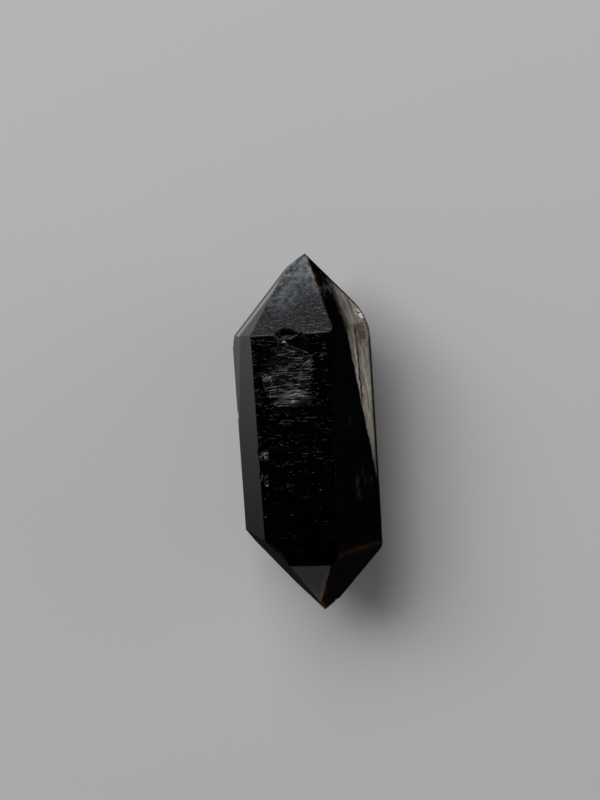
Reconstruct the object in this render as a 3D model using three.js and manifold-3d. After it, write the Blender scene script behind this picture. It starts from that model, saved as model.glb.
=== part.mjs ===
// A double terminated quartz crystal: a six-sided prism closed by a faceted point at each end, lying on one side.
// Millimetres. +Z is up, and +Y runs along the crystal's long axis to its upper point.
import * as THREE from "three";
import { ConvexGeometry } from "three/addons/geometries/ConvexGeometry.js";
import { mergeVertices } from "three/addons/utils/BufferGeometryUtils.js";
import Module from "manifold-3d";

// Driving dimensions
// Quartz keeps the same angles between its faces however it grows, so the crystal's shape is given by
// how far each face stands from the centre: the side itself, the face over it on the upper point and the
// one under it on the lower point. Azimuth is in degrees round the long axis, from straight up towards +X.
// Taper, in degrees, closes a side in towards the lower point, and lines counts its growth lines.
const SIDES = {
  front: { azimuth: 0, distance: 9.0, upper: 16.18, lower: 18.08, taper: 0, lines: 36 },
  right: { azimuth: 60, distance: 9.29, upper: 17.05, lower: 17.24, taper: 1.3, lines: 10 },
  backRight: { azimuth: 120, distance: 8.4, upper: 16.85, lower: 17.3, taper: 0, lines: 14 },
  back: { azimuth: 180, distance: 8.6, upper: 16.9, lower: 15.16, taper: 0, lines: 0 },
  backLeft: { azimuth: 240, distance: 8.85, upper: 15.17, lower: 17.0, taper: 0, lines: 14 },
  left: { azimuth: 300, distance: 9.12, upper: 16.35, lower: 15.84, taper: 0, lines: 10 },
};
const POINT_TILT = 38.21; // degrees by which a face of a point leans in from the side it stands over

// A small face that blunts the shoulder between the right side and its neighbour behind
const SHOULDER = { azimuth: 90, elevation: 24.4, distance: 15.3 };

// A long sliver of a face that leaves the right side along a slanting line and trims that side's rear edge
const SLIVER = { top: [7.7, 14, 5.9], bottom: [9.87, -7.2, 1.2], turn: 4 };

// The sunken patch on the front side: its outline, and terraces that get smaller as they go down
const PATCH_OUTLINE = [[-0.5, 13.5], [3.2, 11.4], [3.6, 8.4], [1.8, 5.5], [-2.2, 4.7], [-4.2, 7.9], [-4.0, 9.7]];
const PATCH = { centre: [-0.3, 8.9], terraces: 3, drop: 0.13, shrink: 0.15, segments: 28 };

// The scallop knocked out of the edge over the patch
const SCALLOP = { place: [-0.5, 15.1], halfWidth: 2.2, halfLength: 1.1, depth: 0.75, turn: -8 };

// Growth lines across the sides: the smallest and largest depth and length, and the stretch of the axis they cover
const LINE_DEPTH = [0.05, 0.11];
const LINE_LENGTH = [1.2, 5.5];
const LINE_REACH = [-12.5, 13.8];

// Bruises on the edges between two sides, each a little pit, longer along the edge than across it
const BRUISE_STRETCH = 1.6;
const BRUISES = [
  { sides: ["front", "left"], y: -1.7, radius: 0.55 },
  { sides: ["front", "left"], y: -4.9, radius: 0.4 },
  { sides: ["front", "right"], y: -9.2, radius: 0.42 },
  { sides: ["left", "backLeft"], y: 14.3, radius: 0.7 },
  { sides: ["left", "backLeft"], y: 3.1, radius: 0.4 },
  { sides: ["right", "backRight"], y: 14.6, radius: 0.85 },
  { sides: ["right", "backRight"], y: 12.6, radius: 0.6 },
  { sides: ["right", "backRight"], y: -11.5, radius: 0.5 },
];

const QUARTZ = new THREE.MeshStandardMaterial({ name: "smoky quartz", color: 0x17171a, roughness: 0.08, metalness: 0 });

const AXIS = new THREE.Vector3(0, 1, 0);
const FRONT_Z = SIDES.front.distance;
const rad = THREE.MathUtils.degToRad;
const lerp = THREE.MathUtils.lerp;

// A direction by its azimuth and its elevation towards the upper point, in degrees
function direction(azimuth, elevation) {
  const level = Math.cos(rad(elevation));
  return new THREE.Vector3(level * Math.sin(rad(azimuth)), Math.sin(rad(elevation)), level * Math.cos(rad(azimuth)));
}

// The face square to a direction, at a distance from the centre
const face = (normal, distance) => new THREE.Plane(normal, -distance);
const sideNormal = ({ azimuth, taper }) => direction(azimuth, -taper);
const sideFace = (side) => face(sideNormal(side), side.distance);
const upperFace = (side) => face(direction(side.azimuth, POINT_TILT), side.upper);
const lowerFace = (side) => face(direction(side.azimuth, -POINT_TILT), side.lower);
const shoulderFace = () => face(direction(SHOULDER.azimuth, SHOULDER.elevation), SHOULDER.distance);

// The sliver holds the slanting line, and is the right side turned a little about it
function sliverFace() {
  const top = new THREE.Vector3(...SLIVER.top);
  const line = new THREE.Vector3(...SLIVER.bottom).sub(top).normalize();
  const normal = sideNormal(SIDES.right).applyAxisAngle(line, -rad(SLIVER.turn));
  return new THREE.Plane().setFromNormalAndCoplanarPoint(normal, top);
}

// The one point that three faces share, or null where two of them are parallel
function sharedPoint(a, b, c) {
  const parallel = 1e-6;
  const bc = b.normal.clone().cross(c.normal);
  const spread = a.normal.dot(bc);
  if (Math.abs(spread) < parallel) return null;
  const ca = c.normal.clone().cross(a.normal);
  const ab = a.normal.clone().cross(b.normal);
  const sum = bc.multiplyScalar(-a.constant).addScaledVector(ca, -b.constant).addScaledVector(ab, -c.constant);
  return sum.divideScalar(spread);
}

// The corners of the solid that a set of faces encloses
function corners(faces) {
  const slack = 1e-4;
  const found = [];
  for (let i = 0; i < faces.length; i++) {
    for (let j = 0; j < i; j++) {
      for (let k = 0; k < j; k++) {
        const point = sharedPoint(faces[i], faces[j], faces[k]);
        const inside = point && faces.every((other) => other.distanceToPoint(point) < slack);
        if (inside && !found.some((other) => other.distanceTo(point) < slack)) found.push(point);
      }
    }
  }
  return found;
}

const wasm = await Module();
wasm.setup();

// A closed three.js geometry as a solid that can be cut
function solidOf(geometry) {
  const weld = 1e-5;
  geometry.deleteAttribute("normal");
  geometry.deleteAttribute("uv");
  const merged = mergeVertices(geometry, weld);
  const vertProperties = merged.attributes.position.array;
  const triVerts = new Uint32Array(merged.index.array);
  return new wasm.Manifold(new wasm.Mesh({ numProp: 3, vertProperties, triVerts }));
}

// A solid as a three.js geometry with flat faces
function geometryOf(solid) {
  const mesh = solid.getMesh();
  const shared = new THREE.BufferGeometry();
  shared.setAttribute("position", new THREE.BufferAttribute(mesh.vertProperties, 3));
  shared.setIndex(new THREE.BufferAttribute(mesh.triVerts, 1));
  const flat = shared.toNonIndexed();
  flat.computeVertexNormals();
  return flat;
}

// A frame on a side: X runs across it, Y along it and Z out of it, from the point nearest the crystal's centre
function sideFrame(side) {
  const out = sideNormal(side);
  const across = AXIS.clone().cross(out).normalize();
  const along = out.clone().cross(across);
  const place = out.clone().multiplyScalar(side.distance);
  return new THREE.Matrix4().makeBasis(across, along, out).setPosition(place);
}

// Numbers from 0 to 1, spread evenly and the same on every run
const GOLDEN = 0.618034;
const SILVER = 0.414214;
const scatter = (index, step) => (0.5 + index * step) % 1;

// Each terrace is a shallow pan whose walls lean as the faces of the points do
function patchCuts() {
  const outline = new THREE.CatmullRomCurve3(PATCH_OUTLINE.map(([x, y]) => new THREE.Vector3(x, y, 0)), true);
  const ring = outline.getPoints(PATCH.segments).slice(0, -1);
  const centre = new THREE.Vector3(...PATCH.centre, 0);
  const lean = 1 / Math.tan(rad(POINT_TILT));
  const ringAt = (inset, height) =>
    ring.map((point) => {
      const spoke = point.clone().sub(centre);
      return spoke.setLength(spoke.length() - inset).add(centre).setZ(FRONT_Z + height);
    });
  const meanRadius = Math.sqrt(Math.abs(THREE.ShapeUtils.area(ring)) / Math.PI);
  return Array.from({ length: PATCH.terraces }, (_, i) => {
    const rim = i * PATCH.shrink * meanRadius;
    const depth = (i + 1) * PATCH.drop;
    const wall = PATCH.drop * lean;
    const pan = [...ringAt(rim + wall, -depth), ...ringAt(rim, PATCH.drop - depth), ...ringAt(rim, PATCH.drop)];
    return new ConvexGeometry(pan);
  });
}

function scallopCut() {
  const scallop = new THREE.SphereGeometry(1, 20, 12);
  scallop.scale(SCALLOP.halfWidth, SCALLOP.halfLength, SCALLOP.depth);
  scallop.rotateZ(rad(SCALLOP.turn));
  return scallop.translate(...SCALLOP.place, FRONT_Z);
}

// A growth line is a notch across a side, with walls that lean as the faces of the points do
function growthLineCuts(side) {
  const frame = sideFrame(side);
  const halfWidth = side.distance * Math.tan(rad(30));
  return Array.from({ length: side.lines }, (_, i) => {
    const length = lerp(...LINE_LENGTH, scatter(i, GOLDEN * GOLDEN));
    const depth = lerp(...LINE_DEPTH, scatter(i, SILVER));
    const room = halfWidth - length / 2;
    const notch = new THREE.BoxGeometry(length, Math.SQRT2, Math.SQRT2).rotateX(Math.PI / 4);
    notch.scale(1, depth / Math.tan(rad(POINT_TILT)), depth);
    notch.translate(lerp(-room, room, scatter(i, GOLDEN)), lerp(...LINE_REACH, (i + scatter(i, SILVER)) / side.lines), 0);
    return notch.applyMatrix4(frame);
  });
}

function bruiseCuts() {
  return BRUISES.map(({ sides, y, radius }, i) => {
    const [a, b] = sides.map((name) => sideFace(SIDES[name]));
    const place = sharedPoint(a, b, face(AXIS, y));
    const pit = new THREE.DodecahedronGeometry(radius).rotateX(i).scale(1, BRUISE_STRETCH, 1);
    return pit.translate(place.x, place.y, place.z);
  });
}

function crystalGeometry() {
  const sides = Object.values(SIDES);
  const faces = [...sides.map(sideFace), ...sides.map(upperFace), ...sides.map(lowerFace), shoulderFace(), sliverFace()];
  const whole = solidOf(new ConvexGeometry(corners(faces)));
  const cuts = [...patchCuts(), scallopCut(), ...bruiseCuts(), ...sides.flatMap(growthLineCuts)];
  return geometryOf(cuts.reduce((solid, cut) => solid.subtract(solidOf(cut)), whole));
}

// The crystal lies on its back side, with the origin under the middle of its outline
function crystal() {
  const mesh = new THREE.Mesh(crystalGeometry(), QUARTZ);
  mesh.name = "crystal";
  mesh.geometry.computeBoundingBox();
  const { min, max } = mesh.geometry.boundingBox;
  mesh.position.set(-(min.x + max.x) / 2, -(min.y + max.y) / 2, -min.z);
  return mesh;
}

const group = new THREE.Group();
group.add(crystal());

export default group;
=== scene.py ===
import math

import bpy
from mathutils import Matrix, Vector, noise


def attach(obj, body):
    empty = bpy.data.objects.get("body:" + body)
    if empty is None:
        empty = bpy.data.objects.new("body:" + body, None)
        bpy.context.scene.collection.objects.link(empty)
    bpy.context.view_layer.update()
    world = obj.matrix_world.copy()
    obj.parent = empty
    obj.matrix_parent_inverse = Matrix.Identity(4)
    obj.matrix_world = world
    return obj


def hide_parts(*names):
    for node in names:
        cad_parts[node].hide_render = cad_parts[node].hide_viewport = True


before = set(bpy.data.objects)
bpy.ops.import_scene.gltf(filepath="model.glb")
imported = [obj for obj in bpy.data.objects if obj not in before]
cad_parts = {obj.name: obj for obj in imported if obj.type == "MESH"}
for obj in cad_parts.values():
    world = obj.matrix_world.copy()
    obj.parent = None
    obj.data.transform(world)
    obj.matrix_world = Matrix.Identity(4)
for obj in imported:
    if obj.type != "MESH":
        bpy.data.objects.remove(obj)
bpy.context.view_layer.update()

# Camera
# It looks down on the lying crystal from about 18 cm, a little from the right of its front face and turned
# a little, so that the crystal leans in the picture.
MM = 0.001
CAMERA_PLACE = Vector((37.95, 18.28, 182.25)) * MM
CAMERA_PITCH, CAMERA_YAW, CAMERA_ROLL = -4.32, 12.58, -3.88  # degrees
CAMERA_LENS, CAMERA_SENSOR = 55.07, 36  # mm
CAMERA_NEAREST = 0.01  # m

bpy.ops.object.select_all(action="DESELECT")
bpy.ops.object.camera_add(location=CAMERA_PLACE)
camera = bpy.context.object
camera.rotation_mode = "ZXY"
camera.rotation_euler = [math.radians(turn) for turn in (CAMERA_PITCH, CAMERA_YAW, CAMERA_ROLL)]
camera.data.lens = CAMERA_LENS
camera.data.sensor_width = CAMERA_SENSOR
camera.data.clip_start = CAMERA_NEAREST
bpy.context.scene.camera = camera

# Ground and light
# A plain matt floor under one large soft light from the upper left, with low soft cards to the right and
# at both ends of the crystal. Nothing shines straight from above, so that its front face stays dark.
FLOOR_SIZE = 4.0  # m
FLOOR_DROP = 0.05 * MM  # keeps the floor clear of the face that rests on it
FLOOR_COLOUR = (0.25, 0.25, 0.255, 1)
FLOOR_ROUGHNESS, FLOOR_GLOSS = 0.9, 0.1
LIGHT_AIM = Vector((0, 0, 0.009))  # m, the middle of the crystal
WHITE, WARM_WHITE, COOL_WHITE = (1, 1, 1), (1, 0.97, 0.93), (0.6, 0.8, 1)

bpy.ops.mesh.primitive_plane_add(size=FLOOR_SIZE, location=(0, 0, -FLOOR_DROP))
floor = bpy.context.object
floor.name = "floor"
paper = bpy.data.materials.new("grey paper")
paper.use_nodes = True
paper_shader = paper.node_tree.nodes["Principled BSDF"]
paper_shader.inputs["Base Color"].default_value = FLOOR_COLOUR
paper_shader.inputs["Roughness"].default_value = FLOOR_ROUGHNESS
paper_shader.inputs["Specular IOR Level"].default_value = FLOOR_GLOSS
floor.data.materials.append(paper)
floor.visible_glossy = False


def soft_light(name, place, size, radiance, colour):
    """A rectangular soft light that faces the crystal, in metres, as bright all over as radiance says."""
    bpy.ops.object.light_add(type="AREA", location=place)
    light = bpy.context.object
    light.name = name
    light.rotation_euler = (LIGHT_AIM - Vector(place)).to_track_quat("-Z", "Y").to_euler()
    light.data.shape = "RECTANGLE"
    light.data.size, light.data.size_y = size
    light.data.energy = radiance * math.pi * size[0] * size[1]
    light.data.color = colour


soft_light("main light", place=(-0.35, 0.70, 0.75), size=(1.3, 0.6), radiance=10.5, colour=WHITE)
soft_light("right card", place=(0.60, 0.10, 0.13), size=(0.5, 0.16), radiance=9.0, colour=WARM_WHITE)
soft_light("upper card", place=(-0.17, 0.75, 0.24), size=(0.6, 0.24), radiance=0.31, colour=COOL_WHITE)
soft_light("lower card", place=(-0.15, -0.70, 0.045), size=(0.5, 0.11), radiance=0.5, colour=WHITE)


class Field:
    """A shader value that can be added, taken away and multiplied as a number is."""

    def __init__(self, tree, socket=None):
        self.tree = tree
        self.socket = socket

    def node(self, kind, settings, sockets, output=0):
        """Adds a node, with its settings first and then the values or fields of its sockets."""
        made = self.tree.nodes.new(kind)
        for name, value in settings.items():
            setattr(made, name, value)
        for name, value in sockets.items():
            if isinstance(value, Field):
                self.tree.links.new(value.socket, made.inputs[name])
            else:
                made.inputs[name].default_value = value
        return Field(self.tree, made.outputs[output]) if made.outputs else None

    def maths(self, operation, first, second):
        return self.node("ShaderNodeMath", {"operation": operation}, {0: first, 1: second})

    def __add__(self, other):
        return self.maths("ADD", self, other)

    def __sub__(self, other):
        return self.maths("SUBTRACT", self, other)

    def __rsub__(self, other):
        return self.maths("SUBTRACT", other, self)

    def __mul__(self, other):
        return self.maths("MULTIPLY", self, other)

    __radd__ = __add__
    __rmul__ = __mul__

    def larger(self, other):
        return self.maths("MAXIMUM", self, other)

    def smaller(self, other):
        return self.maths("MINIMUM", self, other)

    def vector_maths(self, operation, other, output):
        return self.node("ShaderNodeVectorMath", {"operation": operation}, {0: self, 1: other}, output)

    def dot(self, way):
        """How far a place lies along a way."""
        return self.vector_maths("DOT_PRODUCT", way, "Value")

    def far(self, point):
        """How far a place is from a point."""
        return self.vector_maths("DISTANCE", point, "Value")

    def scaled(self, factors):
        return self.vector_maths("MULTIPLY", factors, "Vector")

    def rise(self, low, high):
        """From 0 at low to 1 at high, smoothly. It falls where high is under low."""
        ends = {"Value": self, "From Min": low, "From Max": high}
        return self.node("ShaderNodeMapRange", {"interpolation_type": "SMOOTHSTEP"}, ends)

    def near(self, middle, reach):
        """From 1 at the middle to 0 at a reach to either side."""
        return self.maths("ABSOLUTE", self - middle, 0).rise(reach, 0)

    def clouds(self, size, detail):
        """A cloudy value from 0 to 1 over a place, about 0.5 on average, with clouds of a size in mm."""
        sockets = {"Vector": self, "Scale": 1 / size, "Detail": detail}
        return self.node("ShaderNodeTexNoise", {}, sockets, "Fac")

    def blend(self, first, second):
        """From the first colour to the second as the field goes from 0 to 1."""
        return self.node("ShaderNodeMix", {"data_type": "RGBA"}, {"Factor": self, 6: first, 7: second}, 2)


# The room is dark but for a glow at its left and a pale band round its walls. The crystal's faces mirror
# the room and not the floor.
ROOM_DARK, ROOM_GLOW, ROOM_BAND = 0.012, 1.25, 0.45
ROOM_GLOW_WAY = (-0.85, 0.53, 0)
ROOM_GLOW_SPREAD = (0.3, 0.95)
ROOM_BAND_FOOT, ROOM_BAND_TOP = (0.2, 0.4), (0.9, 0.6)

room = bpy.data.worlds.new("dim room")
room.use_nodes = True
room_way = Field(room.node_tree).node("ShaderNodeTexCoord", {}, {}, "Generated")
room_height = room_way.dot((0, 0, 1))
room_band = room_height.rise(*ROOM_BAND_FOOT) * room_height.rise(*ROOM_BAND_TOP)
room_glow = room_way.dot(ROOM_GLOW_WAY).rise(*ROOM_GLOW_SPREAD)
room_light = ROOM_DARK + ROOM_GLOW * room_glow * room_glow + ROOM_BAND * room_band
background = room.node_tree.nodes["Background"]
background.inputs["Color"].default_value = (*WHITE, 1)
room.node_tree.links.new(room_light.socket, background.inputs["Strength"])
bpy.context.scene.world = room
bpy.context.scene.view_settings.view_transform = "Standard"

# Crystal
# One natural piece of smoky quartz, grown as a six-sided prism with a point at each end. Its flat, glassy
# faces are those of the CAD solid, wrapped anew without its cuts. Its edges are then worn, most so at the
# right shoulder, and its growth lines, scars and bruises are cut into it.
CRYSTAL_MIDDLE = Vector((0.097, 0.011, 8.6))  # mm
POINT_LEAN = 38.21  # degrees by which a face of a point leans in from the side it stands over
RIGHT_LEAN = -1.3  # degrees by which the right side closes in to the lower point
SHOULDER_AZIMUTH, SHOULDER_LEAN = 90, 24.4

# A face is two angles: degrees round the long axis, from straight up towards +X, and lean to the upper end
FRONT, RIGHT, LEFT = (0, 0), (60, RIGHT_LEAN), (300, 0)
BACK_RIGHT, BACK, BACK_LEFT = (120, 0), (180, 0), (240, 0)
SIDES = [FRONT, RIGHT, BACK_RIGHT, BACK, BACK_LEFT, LEFT]
UPPER_FACES = [(azimuth, POINT_LEAN) for azimuth, lean in SIDES]
LOWER_FACES = [(azimuth, -POINT_LEAN) for azimuth, lean in SIDES]
UPPER_FRONT, LOWER_FRONT = UPPER_FACES[0], LOWER_FACES[0]
UPPER_RIGHT, UPPER_BACK_RIGHT = UPPER_FACES[1:3]
UPPER_BACK_LEFT, UPPER_LEFT = UPPER_FACES[4:]
SHOULDER = (SHOULDER_AZIMUTH, SHOULDER_LEAN)

WELD = 0.001 * MM
FLAT = 0.5  # degrees between faces that count as one
TOUCH = 0.01  # mm under a face within which a corner is on it
EDGE_WEAR = 0.004 * MM
POINT_EDGE_WEAR = 0.05 * MM
SHOULDER_WEAR = 0.5 * MM
SHOULDER_PLACE = Vector((9.6, 16.2, 8.6)) * MM
SHOULDER_REACH = 4.2 * MM

bpy.ops.object.select_all(action="DESELECT")
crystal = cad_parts["crystal"].copy()
crystal.data = crystal.data.copy()
crystal.name = "quartz_crystal"
for key in list(crystal.keys()):
    del crystal[key]
crystal.parent = None
bpy.context.scene.collection.objects.link(crystal)
crystal.select_set(True)
bpy.context.view_layer.objects.active = crystal
bpy.ops.object.mode_set(mode="EDIT")
bpy.ops.mesh.select_all(action="SELECT")
bpy.ops.mesh.customdata_custom_splitnormals_clear()
bpy.ops.mesh.remove_doubles(threshold=WELD)
bpy.ops.mesh.select_mode(type="EDGE")
bpy.ops.object.mode_set(mode="OBJECT")


def wrap():
    """Closes the crystal tight round its corners, with one flat face for each side."""
    bpy.ops.object.mode_set(mode="EDIT")
    bpy.ops.mesh.select_all(action="SELECT")
    bpy.ops.mesh.convex_hull()
    bpy.ops.mesh.select_all(action="SELECT")
    bpy.ops.mesh.dissolve_limited(angle_limit=math.radians(FLAT))
    bpy.ops.object.mode_set(mode="OBJECT")


def face_normal(face):
    """The way out of a face."""
    turn, lean = (math.radians(degrees) for degrees in face)
    level = math.cos(lean)
    return Vector((level * math.sin(turn), math.sin(lean), level * math.cos(turn)))


def face_distance(normal):
    """How far a face stands from the crystal's middle, in mm."""
    return max(normal.dot(vertex.co / MM - CRYSTAL_MIDDLE) for vertex in crystal.data.vertices)


def wear(offset, segments, is_worn):
    """Rounds the edges whose two ends are both worn."""
    ends = crystal.data.vertices
    bpy.ops.object.mode_set(mode="EDIT")
    bpy.ops.mesh.select_all(action="DESELECT")
    bpy.ops.object.mode_set(mode="OBJECT")
    for edge in crystal.data.edges:
        edge.select = all(is_worn(ends[end].co) for end in edge.vertices)
    bpy.ops.object.mode_set(mode="EDIT")
    bpy.ops.mesh.bevel(offset=offset, segments=segments, affect="EDGES")
    bpy.ops.object.mode_set(mode="OBJECT")
    wrap()


wrap()
upper_front_normal = face_normal(UPPER_FRONT)
upper_front_distance = face_distance(upper_front_normal)


def at_shoulder(corner):
    return (corner - SHOULDER_PLACE).length < SHOULDER_REACH


def off_shoulder(corner):
    return (corner - SHOULDER_PLACE).length > SHOULDER_REACH


def at_upper_front(corner):
    return upper_front_normal.dot(corner / MM - CRYSTAL_MIDDLE) > upper_front_distance - TOUCH


wear(SHOULDER_WEAR, segments=5, is_worn=at_shoulder)
wear(POINT_EDGE_WEAR, segments=2, is_worn=at_upper_front)
wear(EDGE_WEAR, segments=2, is_worn=off_shoulder)

# Growth lines are narrow steps across a side, where the crystal grew in fits and starts. They are pressed
# in with a stamp, a fine grid whose underside has their shape. The front side's stamp also has the sunken
# patch, the scar of a flake lost from the edge over it, and a few nicks.
STAMP_LIFT = 0.02  # mm by which a stamp clears the face where nothing is pressed
STAMP_BACK = 2.0  # mm


def cut_away(tool):
    """Takes a closed tool out of the crystal."""
    cut = crystal.modifiers.new("cut", "BOOLEAN")
    cut.operation = "DIFFERENCE"
    cut.solver = "MANIFOLD"
    cut.object = tool
    bpy.ops.object.select_all(action="DESELECT")
    crystal.select_set(True)
    bpy.context.view_layer.objects.active = crystal
    bpy.ops.object.modifier_apply(modifier=cut.name)
    bpy.data.objects.remove(tool)


def press(face, width, reach, spacing, depth_at):
    """Presses a relief into a face between two places along it, in mm from the foot of its normal."""
    low, high = reach
    columns = round(width / spacing[0])
    rows = round((high - low) / spacing[1])
    bpy.ops.object.select_all(action="DESELECT")
    bpy.ops.mesh.primitive_grid_add(x_subdivisions=columns, y_subdivisions=rows, size=1)
    stamp = bpy.context.object
    for vertex in stamp.data.vertices:
        across = vertex.co.x * width
        along = low + (vertex.co.y + 0.5) * (high - low)
        vertex.co = (across, along, STAMP_LIFT - depth_at(across, along))
    bpy.ops.object.mode_set(mode="EDIT")
    bpy.ops.mesh.select_all(action="SELECT")
    bpy.ops.mesh.extrude_region_move(TRANSFORM_OT_translate={"value": (0, 0, STAMP_BACK)})
    bpy.ops.mesh.select_all(action="SELECT")
    bpy.ops.mesh.normals_make_consistent(inside=False)
    bpy.ops.object.mode_set(mode="OBJECT")
    normal = face_normal(face)
    across_way = Vector((0, 1, 0)).cross(normal).normalized()
    turned = Matrix((across_way, normal.cross(across_way), normal)).transposed().to_4x4()
    foot = CRYSTAL_MIDDLE + normal * face_distance(normal)
    stamp.data.transform(Matrix.Scale(MM, 4) @ Matrix.Translation(foot) @ turned)
    cut_away(stamp)


def smooth(low, high, value):
    """From 0 at low to 1 at high, smoothly. It falls where high is under low."""
    share = min(max((value - low) / (high - low), 0), 1)
    return share * share * (3 - 2 * share)


def ripple(across, along, lengths, seed):
    """A wandering value from about -1 to 1, with the lengths of its waves across and along the face."""
    return noise.noise(Vector((across / lengths[0], along / lengths[1], seed)))


LINE_LENGTH = 2.2  # mm
LINE_CLUSTERS = (3.5, 1.1)  # mm, the areas where growth lines crowd together
CLUSTER_SEED = 40


def growth_lines(across, along, width, seed, share, deepest):
    """Depth of the short growth lines of a width that cover more or less of a side."""
    fine = ripple(across, along, (LINE_LENGTH, width), seed)
    broad = ripple(across, along, LINE_CLUSTERS, seed + CLUSTER_SEED)
    return deepest * smooth(0, 0.45, fine + 0.5 * broad - 0.55 + share)


# Places on the front side are across and along it, and outlines run anticlockwise. All in mm
PATCH_BOTTOM, PATCH_TOP = 4.6, 13.4
PATCH_OUTLINE = [
    (-4.0, 9.9), (-3.9, 7.5), (-2.3, PATCH_BOTTOM), (2.2, 5.0),
    (3.2, 7.6), (3.7, 10.0), (3.2, 11.6), (-0.9, PATCH_TOP),
]
PATCH_STEPS = 11
PATCH_STEP = 0.035
PATCH_LIP = 0.05  # its depth at the bottom
PATCH_WALL, PATCH_FADE = 0.3, 3  # how wide its wall is, and how much wider where it fades out
FLAKE_RIDGE = [(-1.1, 13.5), (4.0, 11.25)]
FLAKE_OUTLINE = [(-2.1, 14.4), *FLAKE_RIDGE, (4.4, 13.6), (0.35, 15.2), (-0.9, 15.5)]
FLAKE_LIP, FLAKE_DROP, FLAKE_SLOPE = 0.05, 0.2, 0.6
RECESS_OUTLINE = [(-2.2, 14.5), (-0.6, 14.1), (1.8, 14.3), (2.1, 14.7), (0.2, 15.7), (-1.1, 16.1)]
RECESS_DEPTH = 0.7
NICKS = [(-3.4, 8.6, 0.9), (-4.4, -1.6, 0.6), (-4.6, -6.0, 0.5)]  # with how far each reaches
SPLINTER_DEPTH = 0.12
PIT_DEPTH = 0.05
FRONT_LINE_WIDTH, FRONT_LINE_DEPTH = 0.068, 0.026


def past_line(start, end, across, along):
    """How far a place lies to the left of a line."""
    (ax, ay), (bx, by) = start, end
    return ((bx - ax) * (along - ay) - (by - ay) * (across - ax)) / math.hypot(bx - ax, by - ay)


def inside(outline, across, along):
    """How far inside a convex outline a place lies, or less than 0 where it lies outside."""
    edges = zip(outline, outline[1:] + outline[:1])
    return min(past_line(start, end, across, along) for start, end in edges)


def patch_depth(across, along):
    """The patch is deepest at its top, rises in uneven steps and fades out to its lower right."""
    bend = ripple(across, along, (1.1, 0.9), seed=5.5)
    wall = PATCH_WALL + PATCH_FADE * smooth(13.5, 7.5, along) * smooth(-0.5, 1.5, across)
    sunk = smooth(0, wall, inside(PATCH_OUTLINE, across + 0.3 * bend, along + 0.25 * bend))
    share = (along - PATCH_BOTTOM) / (PATCH_TOP - PATCH_BOTTOM)
    climb = PATCH_STEPS * share + 0.8 * ripple(across, along, (2.2, 0.7), seed=1.7)
    step = math.floor(climb)
    tread = 0.8 - 0.6 * smooth(0.15, 0.7, share)
    level = step + smooth(tread, 1, climb - step)
    return sunk * (PATCH_LIP + PATCH_STEP * max(level, 0))


def flake_depth(across, along):
    """The flake's scar starts at a ridge, fades to its right and has a ragged recess at the edge."""
    ridge_gap = past_line(*FLAKE_RIDGE, across, along)
    jag = ripple(across, along, (0.8, 0.8), seed=8.2)
    ragged = jag * smooth(0.4, 1.0, ridge_gap)
    scar = smooth(0, 0.13, inside(FLAKE_OUTLINE, across + 0.3 * ragged, along + 0.25 * ragged))
    fade = smooth(3.4, 1.6, across)
    drop = FLAKE_LIP + FLAKE_DROP * (1 - math.exp(-max(ridge_gap, 0) / FLAKE_SLOPE))
    recess = smooth(0, 0.3, inside(RECESS_OUTLINE, across + 0.25 * jag, along + 0.3 * jag))
    return fade * scar * drop + RECESS_DEPTH * recess


def front_relief(across, along):
    """Lines and pits get fewer to the lower end, and the lines are fainter in the patch."""
    upper = smooth(-12, 5, along)
    pitted = smooth(0.5, 0.75, ripple(across, along, (0.3, 0.22), seed=14.4))
    pits = PIT_DEPTH * (0.6 + 0.4 * upper) * pitted
    splintered = smooth(0, 0.4, ripple(across + along, across - along, (0.45, 0.9), seed=6.6))
    nicked = max(smooth(size, size / 3, math.hypot(across - x, along - y)) for x, y, size in NICKS)
    splinters = SPLINTER_DEPTH * splintered * nicked
    flake = flake_depth(across, along)
    patch = patch_depth(across, along) if flake < STAMP_LIFT else 0
    share = 0.16 + 0.31 * upper
    lines = growth_lines(across, along, FRONT_LINE_WIDTH, seed=3.1, share=share, deepest=FRONT_LINE_DEPTH)
    lines *= 1 - 0.55 * smooth(0, PATCH_LIP, patch)
    return max(lines + pits + splinters + patch, flake)


SIDE_LINE_WIDTH, SIDE_LINE_DEPTH = 0.13, 0.03
SIDE_LINE_SHARES = {RIGHT: 0.12, BACK_RIGHT: 0.28, BACK_LEFT: 0.28, LEFT: 0.1}


def side_relief(side):
    """The relief of one of the other sides, which has growth lines alone."""
    look = {"seed": side[0] / 7, "share": SIDE_LINE_SHARES[side], "deepest": SIDE_LINE_DEPTH}
    return lambda across, along: growth_lines(across, along, SIDE_LINE_WIDTH, **look)


press(FRONT, width=10.6, reach=(-16, 16.5), spacing=(0.16, 0.032), depth_at=front_relief)
for side in SIDE_LINE_SHARES:
    press(side, width=9.2, reach=(-14, 15), spacing=(0.3, 0.09), depth_at=side_relief(side))

# A bruise is a little pit where the crystal was knocked against another, mostly on an edge between two
# sides, and with a crushed cluster on the right shoulder. A lumpy ball, long along an edge, takes it out.
BRUISE_STRETCH = 1.6
BRUISE_LUMPS, BRUISE_LUMP_HEIGHT = 1.8, 0.4  # both against its radius

# The azimuths of an edge's two sides, the place along it and the radius, in mm
EDGE_BRUISES = [
    ((0, 300), -1.7, 0.55), ((0, 300), -4.9, 0.4), ((0, 60), -9.2, 0.42), ((300, 240), 14.3, 0.7),
    ((300, 240), 3.1, 0.4), ((60, 120), 14.6, 0.85), ((60, 120), 12.6, 0.6), ((60, 120), -11.5, 0.5),
]
SHOULDER_BRUISES = [
    ((8.8, 17.0, 10.1), 0.45), ((9.3, 16.8, 9.5), 0.5), ((9.75, 15.8, 9.95), 0.55),
    ((9.0, 16.2, 11.0), 0.35),
]


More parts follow.
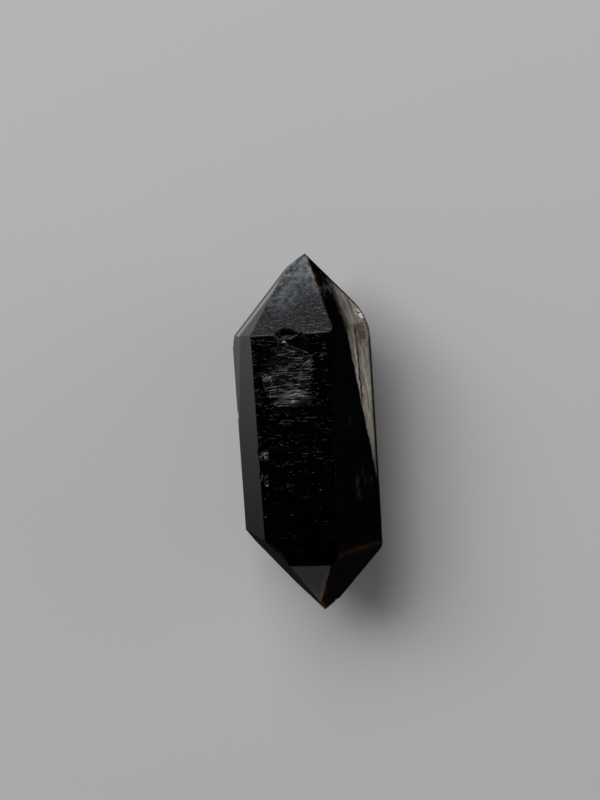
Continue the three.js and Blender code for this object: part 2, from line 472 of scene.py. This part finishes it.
def bruise(spot, radius, stretch, roundness, seed):
    """Takes a lumpy ball out of the crystal at a spot, in mm."""
    bpy.ops.object.select_all(action="DESELECT")
    bpy.ops.mesh.primitive_ico_sphere_add(subdivisions=roundness, radius=radius)
    ball = bpy.context.object
    for vertex in ball.data.vertices:
        lump = noise.noise(vertex.co / radius * BRUISE_LUMPS + Vector((seed, 3, 0)))
        swollen = vertex.co * (1 + BRUISE_LUMP_HEIGHT * lump)
        vertex.co = (swollen * Vector((1, stretch, 1)) + spot) * MM
    cut_away(ball)


def edge_spot(azimuths, along):
    """The spot on the edge between two sides at a place along it."""
    normals = [face_normal((azimuth, 0)) for azimuth in azimuths]
    distances = Vector([face_distance(normal) for normal in normals])
    across, up = Matrix([(normal.x, normal.z) for normal in normals]).inverted() @ distances
    return CRYSTAL_MIDDLE + Vector((across, along, up))


for number, (azimuths, along, radius) in enumerate(EDGE_BRUISES):
    bruise(edge_spot(azimuths, along), radius, BRUISE_STRETCH, roundness=2, seed=number * 5)
for number, (spot, radius) in enumerate(SHOULDER_BRUISES):
    bruise(Vector(spot), radius, stretch=1, roundness=1, seed=number * 7)

# The quartz is clear glass with a nearly black body. It is a mix of that glass and a pale veil, which
# stands for the fine feathers in the clear margin, crushed quartz and dust. The veil also carries painted
# light: the light seen through the clear margin, painted glints, a painted sheen and painted highlights.
QUARTZ_IOR = 1.544
QUARTZ_MIRROR = (0.3, 0.3, 0.3, 1)
BLACK, SMOKY, CLEAR = (0, 0, 0, 1), (0.36, 0.26, 0.18, 1), (1, 1, 1, 1)
SMOKE_COLOUR, SMOKE_DENSITY = (0.8, 0.72, 0.62, 1), 150
# The veil's pale colour stands for feathers and also paints the light seen through the clear margin
VEIL_AND_PAINTED_LIGHT_COLOUR, VEIL_ROUGHNESS = (0.44, 0.405, 0.365, 1), 0.25
STAIN_COLOUR = (0.16, 0.09, 0.05, 1)
# Bluish, for dust and for the painted sheen of the upper face
DUST_AND_SHEEN_COLOUR = (0.40, 0.43, 0.47, 1)
# Whitish, for crushed quartz and for painted glints
CRUSHED_AND_GLINT_COLOUR = (0.8, 0.79, 0.76, 1)
POINT_SKIN, SIDE_SKIN, FRONT_SKIN = 0.08, 0.04, 0.6  # mm under a face that count as on it

quartz = bpy.data.materials.new("smoky quartz")
quartz.use_nodes = True
quartz.node_tree.nodes.clear()
tree = Field(quartz.node_tree)
metres = tree.node("ShaderNodeTexCoord", {}, {}, "Object")
place = metres.scaled((1 / MM, 1 / MM, 1 / MM))
length = place.dot((0, 1, 0))
height = place.dot((0, 0, 1))


def under_face(face):
    """How deep a place lies under a face, in mm."""
    normal = face_normal(face)
    return face_distance(normal) + normal.dot(CRYSTAL_MIDDLE) - place.dot(normal)


def on_face(face, depth):
    """1 on a face and down to a depth under it, in mm."""
    return under_face(face).rise(1.5 * depth, depth)


def from_edge(first, second):
    """How far a place is from the edge between two faces, roughly, in mm."""
    return under_face(first).larger(under_face(second))


def about(spots, grain):
    """Ragged light spots of a grain, each by its place, how far it reaches and how strong it is."""
    light = 0
    for spot, reach, strength in spots:
        ragged = place.far(spot) + reach * (place.clouds(0.6 * reach, 3) - 0.5)
        light = light + strength * ragged.rise(reach, 0.2 * reach)
    return grain * light


on_upper_front = on_face(UPPER_FRONT, POINT_SKIN)
on_lower_front = on_face(LOWER_FRONT, POINT_SKIN)
on_upper_left = on_face(UPPER_LEFT, POINT_SKIN) * (1 - on_upper_front)
on_left = on_face(LEFT, SIDE_SKIN)
on_right = on_face(RIGHT, SIDE_SKIN)
off_ends = (1 - on_upper_front) * (1 - on_lower_front)
on_front = on_face(FRONT, FRONT_SKIN) * off_ends * (1 - on_left) * (1 - on_right)
on_upper_end = length.rise(14.0, 15.2)

# Clear margin: it starts at a wavy growth boundary, and streaks run along it beside one dark parting. Its
# veil is partly feathers and partly painted light, for the light seen through the margin: paler beside the
# parting and half way up, darker to the upper end. At the edges behind it the veil gives way to clear
# glass, which leaves a dark rim there as painted shade.
MARGIN_NORMAL = (0.9257, 0.1694, -0.337)
MARGIN_REACH = 4.72  # mm
MARGIN_WAY = (0.099, -0.9706, -0.2156)
STREAK_SIZE, STREAK_SQUEEZE = 0.62, 0.04
FEATHER_SIZE, FEATHER_SQUEEZE = 0.3, 0.15
PARTING_SLANT, PARTING_START = 0.1116, 0.318
BEHIND_SKIN, SHOULDER_SKIN = 0.3, 0.15  # mm

boundary = place.dot(MARGIN_NORMAL) - MARGIN_REACH + 0.5 * place.clouds(0.9, 3) - 0.25
down_margin = place.dot(MARGIN_WAY)
margin = boundary.rise(0, 0.3) * (1 - on_upper_end) + boundary.rise(-0.3, 1.4) * on_upper_end


def drawn_out(squeeze):
    """A place across and down the margin, which draws clouds out along it."""
    return tree.node("ShaderNodeCombineXYZ", {}, {0: boundary, 1: down_margin * squeeze})


streaks = drawn_out(STREAK_SQUEEZE).clouds(STREAK_SIZE, 3)
feathers = drawn_out(FEATHER_SQUEEZE).clouds(FEATHER_SIZE, 4).rise(0.3, 0.65)
parting = boundary + down_margin * PARTING_SLANT + PARTING_START
dark_line = parting.near(0, 0.26) * down_margin.near(-11.5, 7.5).rise(0, 0.4)
bright_line = parting.near(-0.3, 0.25) * down_margin.near(-12, 7)
# Painted shade: the veil fades out beside the back edges and on the shoulder, so a dark rim shows along
# them
outside_painted_rim_shade = from_edge(RIGHT, BACK_RIGHT).rise(0.3, 0.8)
outside_painted_rim_shade = outside_painted_rim_shade * from_edge(UPPER_RIGHT, UPPER_BACK_RIGHT).rise(0.05, 0.5)
outside_painted_rim_shade = outside_painted_rim_shade * (1 - 0.7 * on_face(SHOULDER, SHOULDER_SKIN))
# How pale the veil is, which shapes the painted light seen through the margin
haze_and_painted_light = 0.05 + 0.45 * streaks + 0.1 * boundary.rise(0.2, 3.0) + 0.2 * bright_line
haze_and_painted_light = haze_and_painted_light + 0.05 * length.near(6, 7) - 0.06 * length.rise(9, 13) - 0.06 * on_upper_end
haze_and_painted_light = haze_and_painted_light * (0.6 + 0.55 * feathers) * (1 - 0.5 * on_face(BACK_RIGHT, BEHIND_SKIN))
# The veil: feathers, and painted light that stands in for the light seen through the clear margin
veil_and_painted_light = margin * haze_and_painted_light * outside_painted_rim_shade * (1 - dark_line)

# Crushed quartz with painted glints at the shoulder and nicks, wisps in the dark body, dust and a painted
# sheen on the upper face, a painted highlight at the lower end of the patch, painted highlights on the thin
# left face of the upper point and along the left side, and a brown stain under the shoulder. A spot has a
# reach and a strength.
CRUSHED_AND_GLINT_SPOTS = [
    ((9.15, 16.8, 9.9), 1.6, 0.6), ((-4.4, -2.1, 17.5), 0.75, 0.16), ((-4.6, -5.3, 17.5), 0.9, 0.03),
    ((-0.45, 13.7, 17.4), 0.5, 0.35), ((-3.25, 8.75, 17.45), 0.8, 0.2),
]
WISP_SPOTS = [
    ((8.45, -7.0, 12.4), 3.0, 0.035), ((7.75, 1.4, 14.0), 2.6, 0.012), ((4.3, 21.4, 11.3), 3.5, 0.06),
]
SHEEN_PLACE = (-1.1, 19.5, 13.9)
PATCH_PLACE, PATCH_SHAPE = (0, 9.0, 17.5), (1.15, 1, 1)
PATCH_END_PLACE, PATCH_END_SHAPE = (0.04, 6.1, 17.5), (0.4, 1, 1)
STAIN_PLACE = (9.5, 13.9, 11.4)

# Whitish crushed quartz, with painted glints on it at the shoulder, the nicks and the flake's recess
crushed_and_glints = about(CRUSHED_AND_GLINT_SPOTS, place.clouds(0.33, 3).rise(0.48, 0.6))
wisps = about(WISP_SPOTS, place.scaled((1, 0.3, 1)).clouds(0.6, 4).rise(0.48, 0.72))
specks = place.clouds(0.2, 8).rise(0.45, 0.68)
# Painted sheen on the upper face: paler towards the upper tip and at one spot to its left
painted_sheen = 0.25 * length.rise(18, 27) + 0.06 * place.far(SHEEN_PLACE).rise(3.2, 0.5)
# Dust specks and the painted sheen, on the upper face only
dust_and_sheen = on_upper_front * (0.04 * specks + painted_sheen * place.clouds(0.8, 7).rise(0.25, 0.75))
in_patch = place.scaled(PATCH_SHAPE).far(PATCH_PLACE).rise(4.4, 3.0)
patch_end = place.scaled(PATCH_END_SHAPE).far(PATCH_END_PLACE).rise(1.5, 0.3)
patch_streaks = place.scaled((0.1, 1, 0.2)).clouds(0.2, 3).rise(0.4, 0.7)
# Painted highlight in streaks at the lower end of the patch, with a faint one over the whole patch
patch_painted_highlight = (0.12 * patch_end + 0.013 * in_patch) * patch_streaks
# Painted highlights: a faint lightening and a band on the thin left face of the upper point, and a faint
# strip on the left side beside its back edge, wider towards the upper end
left_painted_highlight = on_upper_left * (0.02 + 0.26 * under_face(UPPER_BACK_LEFT).near(1.4, 1.1))
left_painted_highlight = left_painted_highlight + 0.05 * on_left * (under_face(BACK_LEFT) - 0.27 * length).rise(0.5, -0.5)
stain = 0.9 * (place.far(STAIN_PLACE) + 5 * place.clouds(0.7, 4)).rise(4.5, 2.8)
# The pale surface's colour: the veil's, with the stain, crushed quartz with painted glints, and dust with
# painted sheen
veil_and_painted_light_colour = stain.blend(VEIL_AND_PAINTED_LIGHT_COLOUR, STAIN_COLOUR)
veil_and_painted_light_colour = crushed_and_glints.blend(veil_and_painted_light_colour, CRUSHED_AND_GLINT_COLOUR)
veil_and_painted_light_colour = on_upper_front.blend(veil_and_painted_light_colour, DUST_AND_SHEEN_COLOUR)
veil_and_painted_light_surface = tree.node(
    "ShaderNodeBsdfPrincipled",
    {},
    {"Base Color": veil_and_painted_light_colour, "Roughness": VEIL_ROUGHNESS, "IOR": QUARTZ_IOR},
)

# Finish: the upper face is rippled, the front finely hatched, most so in the patch, the right side dull
RELIEF_HEIGHT = 0.1 * MM
RIPPLE_SIZE, RIPPLE_SHAPE = 0.53, (0.37, 1, 1)
HATCHING_SIZE, HATCHING_SHAPE = 0.14, (0.07, 1, 0.14)

ripples = place.scaled(RIPPLE_SHAPE).clouds(RIPPLE_SIZE, 4)
hatching = place.scaled(HATCHING_SHAPE).clouds(HATCHING_SIZE, 2)
relief = ripples * on_upper_front * 0.85 + hatching * on_front * (0.08 + 0.14 * in_patch)
bump = tree.node("ShaderNodeBump", {}, {"Height": relief, "Strength": 1, "Distance": RELIEF_HEIGHT})
roughness = 0.02 + 0.1 * on_upper_front + 0.12 * on_front + 0.16 * on_right * (1 - margin)

# The glass can be looked through in the margin and from the face that it rests on. The body is thin enough
# for that, smoky brown, only beside the edges of its points.
UPPER_POINT, LOWER_POINT = (17, 24), (-14, -24)  # mm along the crystal
THIN = (0.6, 0.05)  # mm from an edge
RESTING_SKIN = (0.012, 0.003)  # mm

first_gap, second_gap, *other_gaps = [under_face(face) for face in SIDES + UPPER_FACES + LOWER_FACES]
nearest = first_gap.smaller(second_gap)
from_edges = first_gap.larger(second_gap)
for gap in other_gaps:
    from_edges = from_edges.smaller(nearest.larger(gap))
    nearest = nearest.smaller(gap)
at_points = length.rise(*UPPER_POINT) + length.rise(*LOWER_POINT)
body_colour = (at_points * from_edges.rise(*THIN)).blend(BLACK, SMOKY)
see_through = (margin * (1 - dark_line)).larger(height.rise(*RESTING_SKIN))
glass = tree.node(
    "ShaderNodeBsdfPrincipled",
    {},
    {
        "Base Color": see_through.blend(body_colour, CLEAR),
        "Roughness": roughness,
        "IOR": QUARTZ_IOR,
        "Transmission Weight": 1,
        "Specular Tint": QUARTZ_MIRROR,
        "Normal": bump,
    },
)
# How much of the pale surface shows: veil, crushed quartz with painted glints, wisps, dust with painted
# sheen, painted highlights
veil_and_painted_light_share = veil_and_painted_light + crushed_and_glints + wisps + dust_and_sheen + patch_painted_highlight + left_painted_highlight
surface = tree.node("ShaderNodeMixShader", {}, {"Fac": veil_and_painted_light_share, 1: glass, 2: veil_and_painted_light_surface})
smoke = tree.node("ShaderNodeVolumeAbsorption", {}, {"Color": SMOKE_COLOUR, "Density": SMOKE_DENSITY})
tree.node("ShaderNodeOutputMaterial", {}, {"Surface": surface, "Volume": smoke})
crystal.data.materials.clear()
crystal.data.materials.append(quartz)

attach(crystal, "root")
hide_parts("crystal")
